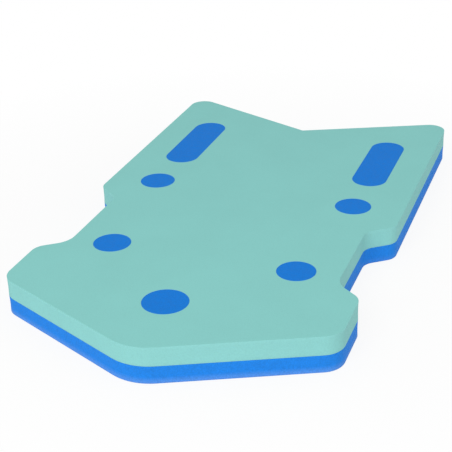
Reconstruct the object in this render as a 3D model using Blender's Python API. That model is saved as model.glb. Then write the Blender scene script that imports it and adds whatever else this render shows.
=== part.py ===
"""Swimming kickboard: two die-cut foam sheets glued face to face, with flush foam inlays in the upper sheet.

The origin is at the middle of the underside, the pointed nose looks towards -Y and the top faces +Z.
Left and right are the swimmer's, who looks towards the nose, so left is at +X.
Distances called "from the nose" run along the board from its rounded tip.
"""

from math import ceil, copysign, cos, pi, radians, sin, tan

import bmesh
import bpy
from mathutils import Vector

# Board, in metres
WIDTH = 0.285
LENGTH = 0.4905
LOWER_THICKNESS = 0.0152
UPPER_THICKNESS = 0.0165
GLUE_GAP = 0.0003
RIM_ROUNDING = 0.0006

# Nose and tail: the sweep is the angle of each edge from straight across
NOSE_SWEEP = radians(24.7)
NOSE_RADIUS = 0.0425
SHOULDER_RADIUS = 0.0195
TAIL_SWEEP = radians(23.5)
WING_RADIUS = 0.0145

# Waist: one hand grip cut into each side, with slanted ends
WAIST_FROM_NOSE = 0.1167
WAIST_LENGTH = 0.1275
WAIST_DEPTH = 0.023
WAIST_RAMP = 0.0175
WAIST_RADIUS = 0.0145

# Inlays: diameters, and places as (from the centre line, from the nose)
NOSE_PLUG_DIAMETER = 0.0377
PLUG_DIAMETER = 0.0327
SLOT_LENGTH = 0.11
NOSE_PLUG_PLACE = (0.0, 0.0662)
WAIST_PLUG_PLACE = (0.0826, 0.1432)
WING_PLUG_PLACE = (0.0965, 0.2734)
SLOT_PLACE = (0.0965, 0.3746)

# Fineness of curved edges
ARC_STEP = radians(5)
PLUG_STEP = radians(7.5)
SHARP_ANGLE = radians(40)

# Foam colours, linear, and how matt the foams are
MINT = (0.262, 0.584, 0.546, 1.0)
BLUE = (0.020, 0.202, 0.716, 1.0)
MINT_ROUGHNESS = 0.6
BLUE_ROUGHNESS = 0.55


def corner_arc(before, corner, after, radius):
    """Points of the arc that rounds a corner between two straight edges."""
    back = (before - corner).normalized()
    onward = (after - corner).normalized()
    half_angle = back.angle(onward) / 2
    inward = (back + onward).normalized()
    centre = corner + inward * radius / sin(half_angle)
    start = corner + back * radius / tan(half_angle) - centre
    turn = pi - 2 * half_angle
    if back.cross(onward) > 0:
        turn = -turn
    steps = ceil(abs(turn) / ARC_STEP)
    arc = []
    for step in range(steps + 1):
        angle = turn * step / steps
        across = start.x * cos(angle) - start.y * sin(angle)
        along = start.x * sin(angle) + start.y * cos(angle)
        arc.append(centre + Vector((across, along)))
    return arc


def board_outline():
    """Closed outline of both sheets, counter-clockwise from above, measured from the nose."""
    half = WIDTH / 2
    grip = half - WAIST_DEPTH
    waist_end = WAIST_FROM_NOSE + WAIST_LENGTH
    nose = Vector((0.0, NOSE_RADIUS * (1 - 1 / cos(NOSE_SWEEP))))
    shoulder = Vector((half, nose.y + half * tan(NOSE_SWEEP)))
    wing_y = LENGTH - WING_RADIUS + WING_RADIUS * (1 + sin(TAIL_SWEEP)) / cos(TAIL_SWEEP)
    wing = Vector((half, wing_y))
    tail_notch = Vector((0.0, wing_y - half * tan(TAIL_SWEEP)))
    corners = [
        (shoulder, SHOULDER_RADIUS),
        (Vector((half, WAIST_FROM_NOSE)), WAIST_RADIUS),
        (Vector((grip, WAIST_FROM_NOSE + WAIST_RAMP)), WAIST_RADIUS),
        (Vector((grip, waist_end - WAIST_RAMP)), WAIST_RADIUS),
        (Vector((half, waist_end)), WAIST_RADIUS),
        (wing, WING_RADIUS),
    ]
    route = [nose] + [corner for corner, radius in corners] + [tail_notch]
    left_side = []
    for index, (corner, radius) in enumerate(corners):
        left_side += corner_arc(route[index], corner, route[index + 2], radius)
    right_side = [mirrored(point) for point in reversed(left_side)]
    nose_tip = corner_arc(mirrored(shoulder), nose, shoulder, NOSE_RADIUS)
    return nose_tip + left_side + [tail_notch] + right_side


def mirrored(point):
    return Vector((-point.x, point.y))


def inlay_outline(diameter, length, gap=0.0):
    """Circle, or a slot with round ends when length is more than diameter, about its own centre."""
    radius = diameter / 2 + gap
    end_offset = (length - diameter) / 2
    steps = round(2 * pi / PLUG_STEP)
    outline = []
    for step in range(steps):
        angle = 2 * pi * (step + 0.5) / steps
        along = radius * sin(angle) + copysign(end_offset, sin(angle))
        outline.append(Vector((radius * cos(angle), along)))
    return outline


def slab_mesh(name, outline, height, rim=None):
    """Straight-walled slab standing on z = 0. Its edge at the height rim is marked for rounding."""
    bm = bmesh.new()
    weight = bm.edges.layers.float.new("bevel_weight_edge")
    base = bm.faces.new([bm.verts.new((point.x, point.y, 0.0)) for point in outline])
    raised = bmesh.ops.extrude_face_region(bm, geom=[base])["geom"]
    top_verts = [item for item in raised if isinstance(item, bmesh.types.BMVert)]
    bmesh.ops.translate(bm, verts=top_verts, vec=(0.0, 0.0, height))
    bmesh.ops.recalc_face_normals(bm, faces=bm.faces)
    if rim is not None:
        for edge in bm.edges:
            if all(abs(vert.co.z - rim) < RIM_ROUNDING for vert in edge.verts):
                edge[weight] = 1.0
    mesh = bpy.data.meshes.new(name)
    bm.to_mesh(mesh)
    bm.free()
    mesh.shade_smooth()
    mesh.set_sharp_from_angle(angle=SHARP_ANGLE)
    return mesh


def foam(name, colour, roughness):
    """Closed-cell foam skin: matt and not metallic."""
    material = bpy.data.materials.new(name)
    material.use_nodes = True
    shader = material.node_tree.nodes["Principled BSDF"]
    shader.inputs["Base Color"].default_value = colour
    shader.inputs["Roughness"].default_value = roughness
    shader.inputs["Metallic"].default_value = 0.0
    return material


def place(name, mesh, collection, board, location, material=None):
    """Put a mesh into the scene as one named piece of the board."""
    piece = bpy.data.objects.new(name, mesh)
    collection.objects.link(piece)
    piece.parent = board
    piece.location = location
    if material is not None:
        piece.data.materials.append(material)
    return piece


def round_rim(sheet):
    """Round the marked rim of a sheet, where the die leaves it slightly soft."""
    bevel = sheet.modifiers.new("soft rim", 'BEVEL')
    bevel.width = RIM_ROUNDING
    bevel.segments = 2
    bevel.limit_method = 'WEIGHT'


def along_board(from_nose):
    return from_nose - LENGTH / 2


def make_sheets(scene, board):
    """The two laminated sheets, with the glue gap between them."""
    outline = [Vector((point.x, along_board(point.y))) for point in board_outline()]
    lower_height = LOWER_THICKNESS - GLUE_GAP / 2
    upper_height = UPPER_THICKNESS - GLUE_GAP / 2
    upper_z = LOWER_THICKNESS + GLUE_GAP / 2
    lower_mesh = slab_mesh("lower_sheet", outline, lower_height, rim=0.0)
    upper_mesh = slab_mesh("upper_sheet", outline, upper_height, rim=upper_height)
    blue = foam("blue_foam", BLUE, BLUE_ROUGHNESS)
    mint = foam("mint_foam", MINT, MINT_ROUGHNESS)
    lower = place("lower_sheet", lower_mesh, scene, board, (0, 0, 0), blue)
    upper = place("upper_sheet", upper_mesh, scene, board, (0, 0, upper_z), mint)
    round_rim(lower)
    round_rim(upper)
    return upper


def make_inlays(scene, board, cutters):
    """Seven flush inlays as deep as the upper sheet, and for each a slightly larger cutter for its hole."""
    height = UPPER_THICKNESS - GLUE_GAP / 2
    base_z = LOWER_THICKNESS + GLUE_GAP / 2
    kinds = [
        ("nose_plug", NOSE_PLUG_DIAMETER, NOSE_PLUG_DIAMETER, NOSE_PLUG_PLACE, {"": 1}),
        ("waist_plug", PLUG_DIAMETER, PLUG_DIAMETER, WAIST_PLUG_PLACE, {"_left": 1, "_right": -1}),
        ("wing_plug", PLUG_DIAMETER, PLUG_DIAMETER, WING_PLUG_PLACE, {"_left": 1, "_right": -1}),
        ("slot_plug", PLUG_DIAMETER, SLOT_LENGTH, SLOT_PLACE, {"_left": 1, "_right": -1}),
    ]
    for kind, diameter, length, (from_centre, from_nose), sides in kinds:
        plug_mesh = slab_mesh(kind, inlay_outline(diameter, length), height)
        hole_mesh = slab_mesh(kind + "_hole", inlay_outline(diameter, length, GLUE_GAP), 2 * height)
        plug_mesh.materials.append(foam(kind + "_foam", BLUE, BLUE_ROUGHNESS))
        for side, sign in sides.items():
            spot = (sign * from_centre, along_board(from_nose))
            place(kind + side, plug_mesh, scene, board, (*spot, base_z))
            cutter = place(kind + side + "_cutter", hole_mesh, cutters, board, (*spot, base_z - height / 2))
            cutter.hide_render = True
            cutter.display_type = 'WIRE'


def cut_holes(sheet, cutters):
    holes = sheet.modifiers.new("inlay holes", 'BOOLEAN')
    holes.operation = 'DIFFERENCE'
    holes.operand_type = 'COLLECTION'
    holes.collection = cutters
    holes.solver = 'EXACT'


def main():
    for item in list(bpy.data.objects):
        bpy.data.objects.remove(item, do_unlink=True)
    scene = bpy.context.scene.collection
    cutters = bpy.data.collections.new("hole_cutters")
    scene.children.link(cutters)
    board = bpy.data.objects.new("kickboard", None)
    scene.objects.link(board)
    upper = make_sheets(scene, board)
    make_inlays(scene, board, cutters)
    cut_holes(upper, cutters)


main()
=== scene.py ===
"""Looks of the foam kickboard: nine die-cut pieces of closed-cell foam, on a white floor in soft light.

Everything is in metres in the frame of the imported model: the underside lies on z = 0, the pointed nose looks
towards -Y and the inlaid face looks up. Left is the swimmer's left, at +X.
"""
from math import ceil, cos, radians, sin, tan

import bpy
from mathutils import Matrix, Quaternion, Vector


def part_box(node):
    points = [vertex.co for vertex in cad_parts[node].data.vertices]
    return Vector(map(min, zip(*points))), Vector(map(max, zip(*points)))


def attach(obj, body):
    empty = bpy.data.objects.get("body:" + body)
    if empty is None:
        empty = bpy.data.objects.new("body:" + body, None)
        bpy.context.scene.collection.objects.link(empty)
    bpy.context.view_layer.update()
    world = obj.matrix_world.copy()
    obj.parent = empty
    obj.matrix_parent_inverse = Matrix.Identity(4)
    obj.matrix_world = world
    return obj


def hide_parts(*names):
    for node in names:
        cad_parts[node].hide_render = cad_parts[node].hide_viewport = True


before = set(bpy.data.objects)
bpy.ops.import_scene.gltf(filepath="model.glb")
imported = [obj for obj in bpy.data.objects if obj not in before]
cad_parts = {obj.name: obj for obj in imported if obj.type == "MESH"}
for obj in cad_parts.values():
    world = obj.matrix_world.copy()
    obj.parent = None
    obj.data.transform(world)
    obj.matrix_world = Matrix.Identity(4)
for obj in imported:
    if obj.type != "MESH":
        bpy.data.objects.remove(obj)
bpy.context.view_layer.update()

MM = 0.001
QUARTER_TURN = radians(90)
HALF_TURN = radians(180)

# Die line of the board, as on the drawing of the sheets
NOSE_SWEEP = radians(24.7)
NOSE_RADIUS = 42.5 * MM
SHOULDER_RADIUS = 19.5 * MM
TAIL_SWEEP = radians(23.5)
WING_RADIUS = 14.5 * MM
TAIL_NOTCH_RADIUS = 0.8 * MM
WAIST_FROM_NOSE = 116.7 * MM
WAIST_LENGTH = 127.5 * MM
WAIST_DEPTH = 23 * MM
WAIST_RAMP = 17.5 * MM
WAIST_RADIUS = 14.5 * MM
WAIST_FRONT_HOLLOW = 21 * MM
ARC_STEP = radians(2.5)
SAME_POINT = 0.01 * MM

# How the die and the glue leave the foam
RIM_ROUNDING = 0.25 * MM
JOINT_ROUNDING = 0.12 * MM
JOINT_GAP = 0.04 * MM
WALL_DISH = 0.2 * MM
ROUNDING_STEPS = 4
WALL_STEPS = 6

# Foam colours: skins, cut walls, and the painted light on the lowest millimetres of the blue walls
MINT_SKIN = "#81C2BD"
MINT_CUT = "#86C5C1"
BLUE_SKIN = "#0672CC"
BLUE_CUT = "#1E7EDA"
# Painted light: the paler blue painted on the lowest millimetres of the blue walls
BLUE_PAINTED_FLOOR_LIGHT = "#8BAAD9"

# Sizes and depths of the foam's patterns
SKIN_CELL = 0.8 * MM
CUT_CELL = 1.1 * MM
PORE_DEPTH = 0.06 * MM
PORE_STRENGTH = 0.5
CLUSTER = 4 * MM
MOTTLE = 45 * MM
SWELL = 25 * MM
SWELL_DEPTH = 0.1 * MM
DRAG_WIDTH = 1.6 * MM
DRAG_LENGTH = 20 * MM
DRAG_DEPTH = 0.12 * MM

# Where the patterns are read: a noise from its low to its high values, and a cell from its middle to the pits
# at its edge, as distances in cells
NOISE_LOW = 0.3
NOISE_HIGH = 0.7
CELL_MIDDLE = 0.1
CELL_EDGE = 0.8
MOTTLE_CONTRAST = 0.015

# Painted light: the blue walls' lowest few millimetres are painted paler, as if lit by the white floor
# beneath, strong from the nose to one place along Y and weak from the other on
PAINTED_LIGHT_HEIGHT = 6.5 * MM
PAINTED_LIGHT_STRONG_TO = -140 * MM
PAINTED_LIGHT_WEAK_FROM = -100 * MM
PAINTED_LIGHT_STRONG = 0.29
PAINTED_LIGHT_WEAK = 0.12

# Gloss of the foam
FOAM_IOR = 1.49
FOAM_SPECULAR = 0.14
FOAM_SMOOTHEST = 0.62
FOAM_ROUGHEST = 0.74

# Studio. The floor shows the board's shadow in full out to SHADOW_REACH, and plain white from BACKDROP_START
PLAIN_WHITE = (1.0, 1.0, 1.0, 1.0)
WORLD_LIGHT = 0.69
FLOOR_SIZE = 12.0
FLOOR_PAINT = (0.8, 0.8, 0.8, 1.0)
FLOOR_GLOW = 0.88
SHADOW_REACH = 0.22
BACKDROP_START = 0.5

# Camera, matched to the photograph's viewing angle: image size and focal length in pixels, sensor in mm
IMAGE_SIZE = 452
FOCAL_LENGTH = 1087.2
SENSOR = 36.0
CAMERA_PLACE = Vector((0.30734, -0.84013, 0.46477))
CAMERA_TARGET = Vector((0.00008, -0.04337, 0.03170))
CAMERA_ROLL = radians(-1.69)


def linear(hex_colour):
    """A colour written as sRGB hex, as the linear values that shaders take."""
    channels = [int(hex_colour[i:i + 2], 16) / 255 for i in (1, 3, 5)]
    return [c / 12.92 if c <= 0.04045 else ((c + 0.055) / 1.055) ** 2.4 for c in channels] + [1.0]


def add(tree, kind, inputs=None, **settings):
    """Add a node to a tree, with its settings, and with its inputs by name or number.

    An input is given a value, a socket to link from, or a node whose first output is linked.
    """
    node = tree.nodes.new(kind)
    for name, value in settings.items():
        setattr(node, name, value)
    for key, value in (inputs or {}).items():
        if isinstance(value, bpy.types.Node):
            value = value.outputs[0]
        if isinstance(value, bpy.types.NodeSocket):
            tree.links.new(value, node.inputs[key])
        else:
            node.inputs[key].default_value = value
    return node


def corner_arc(before, corner, after, radius):
    """Points of the arc that rounds a corner between two straight edges."""
    back = (before - corner).normalized()
    onward = (after - corner).normalized()
    half_angle = back.angle(onward) / 2
    centre = corner + (back + onward).normalized() * radius / sin(half_angle)
    start = corner + back * radius / tan(half_angle) - centre
    turn = HALF_TURN - 2 * half_angle
    if back.cross(onward) > 0:
        turn = -turn
    steps = ceil(abs(turn) / ARC_STEP)
    arc = []
    for step in range(steps + 1):
        angle = turn * step / steps
        across = start.x * cos(angle) - start.y * sin(angle)
        along = start.x * sin(angle) + start.y * cos(angle)
        arc.append(centre + Vector((across, along)))
    return arc


def rounded_outline(corners):
    """Closed outline through corners (x, y, radius), each rounded by an arc."""
    points = []
    for index, (x, y, radius) in enumerate(corners):
        before = Vector(corners[index - 1][:2])
        after = Vector(corners[(index + 1) % len(corners)][:2])
        for point in corner_arc(before, Vector((x, y)), after, radius):
            if not points or (point - points[-1]).length > SAME_POINT:
                points.append(point)
    if (points[0] - points[-1]).length < SAME_POINT:
        points.pop()
    return points


def board_corners():
    """Corners of the board's die line, counter-clockwise from the nose."""
    low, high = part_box("upper_sheet")
    half, nose_y, tail_y = high.x, low.y, high.y
    grip = half - WAIST_DEPTH
    waist_y = nose_y + WAIST_FROM_NOSE
    waist_end_y = waist_y + WAIST_LENGTH
    nose_corner_y = nose_y - NOSE_RADIUS * (1 / cos(NOSE_SWEEP) - 1)
    shoulder_y = nose_corner_y + half * tan(NOSE_SWEEP)
    wing_y = tail_y - WING_RADIUS + WING_RADIUS * (1 + sin(TAIL_SWEEP)) / cos(TAIL_SWEEP)
    left = [
        (half, shoulder_y, SHOULDER_RADIUS),
        (half, waist_y, WAIST_RADIUS),
        (grip, waist_y + WAIST_RAMP, WAIST_FRONT_HOLLOW),
        (grip, waist_end_y - WAIST_RAMP, WAIST_RADIUS),
        (half, waist_end_y, WAIST_RADIUS),
        (half, wing_y, WING_RADIUS),
    ]
    right = [(-x, y, radius) for x, y, radius in reversed(left)]
    nose = (0.0, nose_corner_y, NOSE_RADIUS)
    notch = (0.0, wing_y - half * tan(TAIL_SWEEP), TAIL_NOTCH_RADIUS)
    return [nose] + left + [notch] + right


def inlay_corners(node, gap=0.0):
    """Corners of an inlay, or of its hole with the gap: a rectangle rounded by half its width."""
    low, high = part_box(node)
    radius = (high.x - low.x) / 2 + gap
    centre_x = (low.x + high.x) / 2
    low_x, high_x = centre_x - radius, centre_x + radius
    low_y, high_y = low.y - gap, high.y + gap
    route = [(low_x, low_y), (high_x, low_y), (high_x, high_y), (low_x, high_y)]
    return [(x, y, radius) for x, y in route]


def outline_curve(name, outlines):
    """Curve object of closed outlines: the outer one, then the holes, which run the other way."""
    curve = bpy.data.curves.new(name, 'CURVE')
    curve.dimensions = '3D'
    for number, outline in enumerate(outlines):
        points = outline if number == 0 else outline[::-1]
        spline = curve.splines.new('POLY')
        spline.points.add(len(points) - 1)
        for knot, point in zip(spline.points, points):
            knot.co = (point.x, point.y, 0.0, 1.0)
        spline.use_cyclic_u = True
    guide = bpy.data.objects.new(name, curve)
    bpy.context.scene.collection.objects.link(guide)
    return guide


def die_cut_tree():
    """Geometry Nodes: a foam piece of any outline, with rounded rims, dished walls and flat faces."""
    tree = bpy.data.node_groups.new("die_cut_foam", 'GeometryNodeTree')
    sockets = tree.interface
    sockets.new_socket("Outlines", in_out='INPUT', socket_type='NodeSocketGeometry')
    for name in ("Base Height", "Top Height", "Lower Rounding", "Upper Rounding", "Wall Dish"):
        sockets.new_socket(name, in_out='INPUT', socket_type='NodeSocketFloat')
    for name in ("Rounding Steps", "Wall Steps"):
        sockets.new_socket(name, in_out='INPUT', socket_type='NodeSocketInt')
    sockets.new_socket("Foam", in_out='INPUT', socket_type='NodeSocketMaterial')
    sockets.new_socket("Piece", in_out='OUTPUT', socket_type='NodeSocketGeometry')
    given = add(tree, 'NodeGroupInput').outputs
    outlines = given["Outlines"]
    base, top = given["Base Height"], given["Top Height"]
    lower, upper = given["Lower Rounding"], given["Upper Rounding"]
    steps, wall_steps = given["Rounding Steps"], given["Wall Steps"]

    # The wall's profile runs from the upper rim to the lower one: quarter round, wall, quarter round
    last = add(tree, 'ShaderNodeMath', {0: steps, 1: 2.0, 2: wall_steps}, operation='MULTIPLY_ADD')
    count = add(tree, 'ShaderNodeMath', {0: last, 1: 1.0}, operation='ADD')
    line = add(tree, 'GeometryNodeCurvePrimitiveLine')
    rows = add(tree, 'GeometryNodeResampleCurve', {"Curve": line, "Count": count})
    index = add(tree, 'GeometryNodeInputIndex')
    from_end = add(tree, 'ShaderNodeMath', {0: last, 1: index}, operation='SUBTRACT')
    upper_half = add(tree, 'ShaderNodeMath', {0: index, 1: from_end}, operation='LESS_THAN')
    from_rim = add(tree, 'ShaderNodeMath', {0: index, 1: from_end}, operation='MINIMUM')
    quarter = add(tree, 'ShaderNodeMath', {0: from_rim, 1: steps}, operation='DIVIDE', use_clamp=True)
    angle = add(tree, 'ShaderNodeMath', {0: quarter, 1: QUARTER_TURN}, operation='MULTIPLY')
    sine = add(tree, 'ShaderNodeMath', {0: angle}, operation='SINE')
    cosine = add(tree, 'ShaderNodeMath', {0: angle}, operation='COSINE')
    rounding = add(tree, 'ShaderNodeMix', {0: upper_half, 2: lower, 3: upper})

    # How far down the wall a row is, and how far the foam has drawn back there
    past_rounding = add(tree, 'ShaderNodeMath', {0: index, 1: steps}, operation='SUBTRACT')
    share = add(tree, 'ShaderNodeMath', {0: past_rounding, 1: wall_steps}, operation='DIVIDE', use_clamp=True)
    half_turn = add(tree, 'ShaderNodeMath', {0: share, 1: HALF_TURN}, operation='MULTIPLY')
    bow = add(tree, 'ShaderNodeMath', {0: half_turn}, operation='SINE')
    dish = add(tree, 'ShaderNodeMath', {0: bow, 1: given["Wall Dish"]}, operation='MULTIPLY')
    shortfall = add(tree, 'ShaderNodeMath', {0: 1.0, 1: sine}, operation='SUBTRACT')
    inset = add(tree, 'ShaderNodeMath', {0: rounding, 1: shortfall, 2: dish}, operation='MULTIPLY_ADD')

    # How high a row is: the rounding lifts it in the upper half, by +1, and lowers it in the other, by -1
    wall_top = add(tree, 'ShaderNodeMath', {0: top, 1: upper}, operation='SUBTRACT')
    wall_base = add(tree, 'ShaderNodeMath', {0: base, 1: lower}, operation='ADD')
    wall_z = add(tree, 'ShaderNodeMix', {0: share, 2: wall_top, 3: wall_base})
    upward = add(tree, 'ShaderNodeMath', {0: upper_half, 1: 2.0, 2: -1.0}, operation='MULTIPLY_ADD')
    rise = add(tree, 'ShaderNodeMath', {0: rounding, 1: cosine}, operation='MULTIPLY')
    height = add(tree, 'ShaderNodeMath', {0: rise, 1: upward, 2: wall_z}, operation='MULTIPLY_ADD')

    # A profile's +X comes out on the wall's outside and its +Y downwards, so both are turned round
    place = add(tree, 'ShaderNodeCombineXYZ', {0: inset, 1: height})
    turned = add(tree, 'ShaderNodeVectorMath', {0: place, "Scale": -1.0}, operation='SCALE')
    profile = add(tree, 'GeometryNodeSetPosition', {"Geometry": rows, "Position": turned})
    marked = add(tree, 'GeometryNodeStoreNamedAttribute', {
        "Geometry": profile,
        "Name": "cut_wall",
        "Value": quarter,
    }, data_type='FLOAT', domain='POINT')
    walls = add(tree, 'GeometryNodeCurveToMesh', {"Curve": outlines, "Profile Curve": marked})

    # The two flat faces fill the outlines, drawn in by the rounding of their rims
    tangent = add(tree, 'GeometryNodeInputTangent')
    inward = add(tree, 'ShaderNodeVectorMath', {0: (0, 0, 1), 1: tangent}, operation='CROSS_PRODUCT')
    faces = []
    for rim, level in ((lower, base), (upper, top)):
        shift = add(tree, 'ShaderNodeVectorMath', {0: inward, "Scale": rim}, operation='SCALE')
        drawn_in = add(tree, 'GeometryNodeSetPosition', {"Geometry": outlines, "Offset": shift})
        filled = add(tree, 'GeometryNodeFillCurve', {"Curve": drawn_in}, mode='TRIANGLES')
        lift = add(tree, 'ShaderNodeCombineXYZ', {2: level})
        lifted = add(tree, 'GeometryNodeSetPosition', {"Geometry": filled, "Offset": lift})
        faces.append(add(tree, 'GeometryNodeSetShadeSmooth', {"Geometry": lifted, "Shade Smooth": False}))
    faces[0] = add(tree, 'GeometryNodeFlipFaces', {"Mesh": faces[0]})

    joined = add(tree, 'GeometryNodeJoinGeometry')
    for part in (walls, *faces):
        tree.links.new(part.outputs[0], joined.inputs[0])
    closed = add(tree, 'GeometryNodeMergeByDistance', {"Geometry": joined, "Distance": SAME_POINT / 2})
    whole = add(tree, 'GeometryNodeRealizeInstances', {"Geometry": closed})
    finished = add(tree, 'GeometryNodeSetMaterial', {"Geometry": whole, "Material": given["Foam"]})
    add(tree, 'NodeGroupOutput', {"Piece": finished})
    return tree


def cut_piece(tree, name, outlines, base, top, lower_rounding, upper_rounding, foam):
    """Run the tree on the outlines and keep its result as a plain mesh object."""
    guide = outline_curve(name + "_die_line", outlines)
    modifier = guide.modifiers.new("cut", 'NODES')
    modifier.node_group = tree
    values = {
        "Base Height": base,
        "Top Height": top,
        "Lower Rounding": lower_rounding,
        "Upper Rounding": upper_rounding,
        "Wall Dish": WALL_DISH,
        "Rounding Steps": ROUNDING_STEPS,
        "Wall Steps": WALL_STEPS,
        "Foam": foam,
    }
    sockets = {item.name: item.identifier for item in tree.interface.items_tree if item.in_out == 'INPUT'}
    for socket, value in values.items():
        modifier[sockets[socket]] = value
    evaluated = guide.evaluated_get(bpy.context.evaluated_depsgraph_get())
    mesh = bpy.data.meshes.new_from_object(evaluated)
    mesh.name = name
    bpy.data.objects.remove(guide)
    piece = bpy.data.objects.new(name, mesh)
    bpy.context.scene.collection.objects.link(piece)
    return piece


def closed_cell_foam(name, skin, cut, painted_floor_light, fleck, pit_shade):
    """Cross-linked closed-cell foam, split to sheets with a band knife and die-cut.

    To the eye it is matt and nearly even: a skin of fine cells with hardly any gloss, and cut walls with
    slightly larger open cells and faint drag lines from the die. The fourth argument is a paler colour,
    painted light on the lowest millimetres of cut walls, or None. The fifth is how much clusters of cells
    change the tone at random, and the sixth how much painted shade darkens the pits between single cells.
    """
    material = bpy.data.materials.new(name)
    material.use_nodes = True
    tree = material.node_tree
    tree.nodes.clear()
    place = add(tree, 'ShaderNodeTexCoord').outputs["Object"]
    on_cut = add(tree, 'ShaderNodeAttribute', attribute_name="cut_wall").outputs["Fac"]

    # Cells: 0.3 mm in the real foam, drawn at 0.8 mm on the skin and 1.1 mm on cut walls so that they show
    skin_cells = add(tree, 'ShaderNodeTexVoronoi', {"Vector": place, "Scale": 1 / SKIN_CELL})
    cut_cells = add(tree, 'ShaderNodeTexVoronoi', {"Vector": place, "Scale": 1 / CUT_CELL})
    cells = add(tree, 'ShaderNodeMix', {0: on_cut, 2: skin_cells, 3: cut_cells})
    clusters = add(tree, 'ShaderNodeTexNoise', {"Vector": place, "Scale": 1 / CLUSTER, "Detail": 2.0})
    mottle = add(tree, 'ShaderNodeTexNoise', {"Vector": place, "Scale": 1 / MOTTLE, "Detail": 3.0})
    swell = add(tree, 'ShaderNodeTexNoise', {"Vector": place, "Scale": 1 / SWELL, "Detail": 1.0})
    upright = add(tree, 'ShaderNodeMapping', {"Vector": place, "Scale": (1.0, 1.0, DRAG_WIDTH / DRAG_LENGTH)})
    drag = add(tree, 'ShaderNodeTexNoise', {"Vector": upright, "Scale": 1 / DRAG_WIDTH, "Detail": 2.0})

    # Dye: cut walls are a little lighter than the skin. Painted light: the board's lowest few millimetres are
    # painted paler still, as if lit by the white floor
    cut_dye_and_painted_light = linear(cut)
    if painted_floor_light:
        spot = add(tree, 'ShaderNodeSeparateXYZ', {0: place}).outputs
        painted_light_most = add(tree, 'ShaderNodeMapRange', {
            "Value": spot["Y"],
            "From Min": PAINTED_LIGHT_STRONG_TO,
            "From Max": PAINTED_LIGHT_WEAK_FROM,
            "To Min": PAINTED_LIGHT_STRONG,
            "To Max": PAINTED_LIGHT_WEAK,
        })
        painted_light_share = add(tree, 'ShaderNodeMapRange', {
            "Value": spot["Z"],
            "From Max": PAINTED_LIGHT_HEIGHT,
            "To Min": painted_light_most,
            "To Max": 0.0,
        }, interpolation_type='SMOOTHSTEP')
        # Painted light: paler towards the bottom of the cut walls, and most towards the nose
        painted_light_mix = add(tree, 'ShaderNodeMix', {0: painted_light_share, 6: cut_dye_and_painted_light, 7: linear(painted_floor_light)}, data_type='RGBA')
        cut_dye_and_painted_light = painted_light_mix.outputs[2]
    dye_and_painted_light = add(tree, 'ShaderNodeMix', {0: on_cut, 6: linear(skin), 7: cut_dye_and_painted_light}, data_type='RGBA').outputs[2]

    # Tone: a broad mottle and clusters of cells, which vary at random, and painted shade, darker towards the
    # pits between single cells
    broad = add(tree, 'ShaderNodeMapRange', {
        "Value": mottle,
        "From Min": NOISE_LOW,
        "From Max": NOISE_HIGH,
        "To Min": 1 - MOTTLE_CONTRAST,
        "To Max": 1 + MOTTLE_CONTRAST,
    })
    flecks = add(tree, 'ShaderNodeMapRange', {
        "Value": clusters,
        "From Min": NOISE_LOW,
        "From Max": NOISE_HIGH,
        "To Min": 1 - fleck,
        "To Max": 1 + fleck,
    })
    # Painted shade: each cell is lighter in its middle and darker towards the pits at its edge
    pits = add(tree, 'ShaderNodeMapRange', {
        "Value": cells,
        "From Min": CELL_MIDDLE,
        "From Max": CELL_EDGE,
        "To Min": 1 + pit_shade,
        "To Max": 1 - pit_shade,
    })
    shade = add(tree, 'ShaderNodeMath', {0: broad, 1: flecks}, operation='MULTIPLY')
    shade = add(tree, 'ShaderNodeMath', {0: shade, 1: pits}, operation='MULTIPLY')
    colour = add(tree, 'ShaderNodeVectorMath', {0: dye_and_painted_light, "Scale": shade}, operation='SCALE')

    # Relief: broad waves, the die's drag lines on cut walls, and the pits between the cells
    waves = add(tree, 'ShaderNodeBump', {"Distance": SWELL_DEPTH, "Height": swell})
    lines = add(tree, 'ShaderNodeMath', {0: drag, 1: on_cut}, operation='MULTIPLY')
    dragged = add(tree, 'ShaderNodeBump', {"Distance": DRAG_DEPTH, "Height": lines, "Normal": waves})
    pores = add(tree, 'ShaderNodeBump', {
        "Strength": PORE_STRENGTH,
        "Distance": PORE_DEPTH,
        "Height": cells,
        "Normal": dragged,
    }, invert=True)
    roughness = add(tree, 'ShaderNodeMapRange', {
        "Value": clusters,
        "From Min": NOISE_LOW,
        "From Max": NOISE_HIGH,
        "To Min": FOAM_SMOOTHEST,
        "To Max": FOAM_ROUGHEST,
    })
    surface = add(tree, 'ShaderNodeBsdfPrincipled', {
        "Base Color": colour,
        "Roughness": roughness,
        "Normal": pores,
        "IOR": FOAM_IOR,
        "Metallic": 0.0,
        "Specular IOR Level": FOAM_SPECULAR,
    })
    add(tree, 'ShaderNodeOutputMaterial', {"Surface": surface})
    return material


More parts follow.
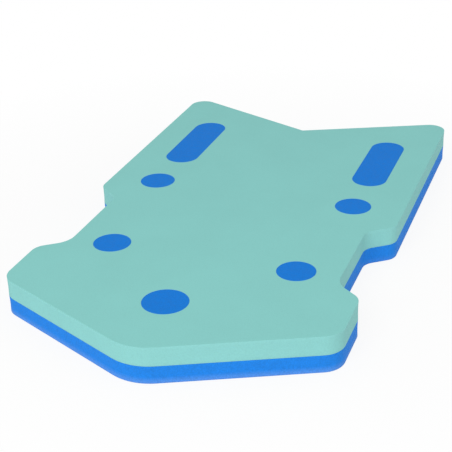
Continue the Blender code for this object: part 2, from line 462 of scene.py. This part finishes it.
def make_board():
    """The two glued sheets and the seven inlays, each standing for its CAD node."""
    mint = closed_cell_foam("mint_closed_cell_foam", MINT_SKIN, MINT_CUT, None,
                            fleck=0.006, pit_shade=0.033)
    # Blue foam, with painted light on the lowest millimetres of its walls and the stronger painted shade in
    # its pits
    blue = closed_cell_foam("blue_closed_cell_foam", BLUE_SKIN, BLUE_CUT, BLUE_PAINTED_FLOOR_LIGHT,
                            fleck=0.045, pit_shade=0.1)
    tree = die_cut_tree()
    plugs = sorted(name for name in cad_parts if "_plug" in name)
    lower_top = (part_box("lower_sheet")[1].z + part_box("upper_sheet")[0].z - JOINT_GAP) / 2
    base = lower_top + JOINT_GAP
    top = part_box("upper_sheet")[1].z
    rim, joint = RIM_ROUNDING, JOINT_ROUNDING
    board = rounded_outline(board_corners())
    holes = [rounded_outline(inlay_corners(plug, JOINT_GAP)) for plug in plugs]
    lower = cut_piece(tree, "blue_lower_sheet", [board], 0.0, lower_top, rim, joint, blue)
    upper = cut_piece(tree, "mint_upper_sheet", [board] + holes, base, top, joint, rim, mint)
    pieces = [(lower, "lower_sheet", "blue_foam"), (upper, "upper_sheet", "mint_foam")]
    for plug in plugs:
        outline = rounded_outline(inlay_corners(plug))
        name = plug.replace("plug", "inlay")
        inlay = cut_piece(tree, name, [outline], base, top, joint, joint, blue)
        pieces.append((inlay, plug, "blue_inlay_foam"))
    for piece, node, slot in pieces:
        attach(piece, "root")
        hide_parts(node)


def shows_backdrop(tree):
    """1 for the rays that show the plain white backdrop: the camera's, and those in gloss and glass."""
    ray = add(tree, 'ShaderNodeLightPath').outputs
    camera, gloss, glass = ray["Is Camera Ray"], ray["Is Glossy Ray"], ray["Is Transmission Ray"]
    seen = add(tree, 'ShaderNodeMath', {0: camera, 1: gloss}, operation='MAXIMUM')
    return add(tree, 'ShaderNodeMath', {0: seen, 1: glass}, operation='MAXIMUM')


def make_floor():
    """Plain white floor. Where it is seen, it glows, so that only a soft shadow shows on it.

    Around the board the glow is FLOOR_GLOW of what is seen. From there its share rises until the floor is as
    white as the backdrop and meets it without an edge.
    """
    half = FLOOR_SIZE / 2
    corners = [(-half, -half, 0), (half, -half, 0), (half, half, 0), (-half, half, 0)]
    mesh = bpy.data.meshes.new("floor")
    mesh.from_pydata(corners, [], [(0, 1, 2, 3)])
    floor = bpy.data.objects.new("floor", mesh)
    bpy.context.scene.collection.objects.link(floor)
    material = bpy.data.materials.new("white_floor_paint")
    material.use_nodes = True
    tree = material.node_tree
    tree.nodes.clear()
    paint = add(tree, 'ShaderNodeBsdfDiffuse', {"Color": FLOOR_PAINT})
    glow = add(tree, 'ShaderNodeEmission', {"Color": PLAIN_WHITE, "Strength": 1.0})
    place = add(tree, 'ShaderNodeTexCoord').outputs["Object"]
    distance = add(tree, 'ShaderNodeVectorMath', {0: place}, operation='LENGTH').outputs["Value"]
    share = add(tree, 'ShaderNodeMapRange', {
        "Value": distance,
        "From Min": SHADOW_REACH,
        "From Max": BACKDROP_START,
        "To Min": FLOOR_GLOW,
        "To Max": 1.0,
    })
    look = add(tree, 'ShaderNodeMixShader', {0: share, 1: paint, 2: glow})
    both = add(tree, 'ShaderNodeMixShader', {0: shows_backdrop(tree), 1: paint, 2: look})
    add(tree, 'ShaderNodeOutputMaterial', {"Surface": both})
    mesh.materials.append(material)


def make_world():
    """Even white surroundings: soft light on the board, and plain white where they are seen."""
    world = bpy.data.worlds.new("white_studio")
    bpy.context.scene.world = world
    world.use_nodes = True
    tree = world.node_tree
    tree.nodes.clear()
    strength = add(tree, 'ShaderNodeMix', {0: shows_backdrop(tree), 2: WORLD_LIGHT, 3: 1.0})
    light = add(tree, 'ShaderNodeBackground', {"Color": PLAIN_WHITE, "Strength": strength})
    add(tree, 'ShaderNodeOutputWorld', {"Surface": light})


def softbox(name, place, width, height, watts):
    """Soft rectangular lamp, aimed at the board."""
    light = bpy.data.lights.new(name, 'AREA')
    light.shape = 'RECTANGLE'
    light.size = width
    light.size_y = height
    light.energy = watts
    lamp = bpy.data.objects.new(name, light)
    bpy.context.scene.collection.objects.link(lamp)
    lamp.location = place
    lamp.rotation_euler = (-Vector(place)).to_track_quat('-Z', 'Y').to_euler()


def make_camera():
    """Camera in front of the nose, to its left and above, with the photograph's slight roll."""
    camera = bpy.data.cameras.new("camera")
    camera.sensor_width = SENSOR
    camera.lens = FOCAL_LENGTH / IMAGE_SIZE * SENSOR
    stand = bpy.data.objects.new("camera", camera)
    bpy.context.scene.collection.objects.link(stand)
    aim = (CAMERA_TARGET - CAMERA_PLACE).to_track_quat('-Z', 'Y')
    stand.rotation_euler = (aim @ Quaternion((0, 0, 1), CAMERA_ROLL)).to_euler()
    stand.location = CAMERA_PLACE
    bpy.context.scene.camera = stand


make_board()
make_floor()
make_world()
softbox("front_softbox", place=(-0.1, -2.2, 1.6), width=2.0, height=1.3, watts=41.3)
softbox("right_softbox", place=(1.6, 0.0, 0.9), width=1.0, height=0.8, watts=3.3)
make_camera()
bpy.context.scene.view_settings.view_transform = 'Standard'
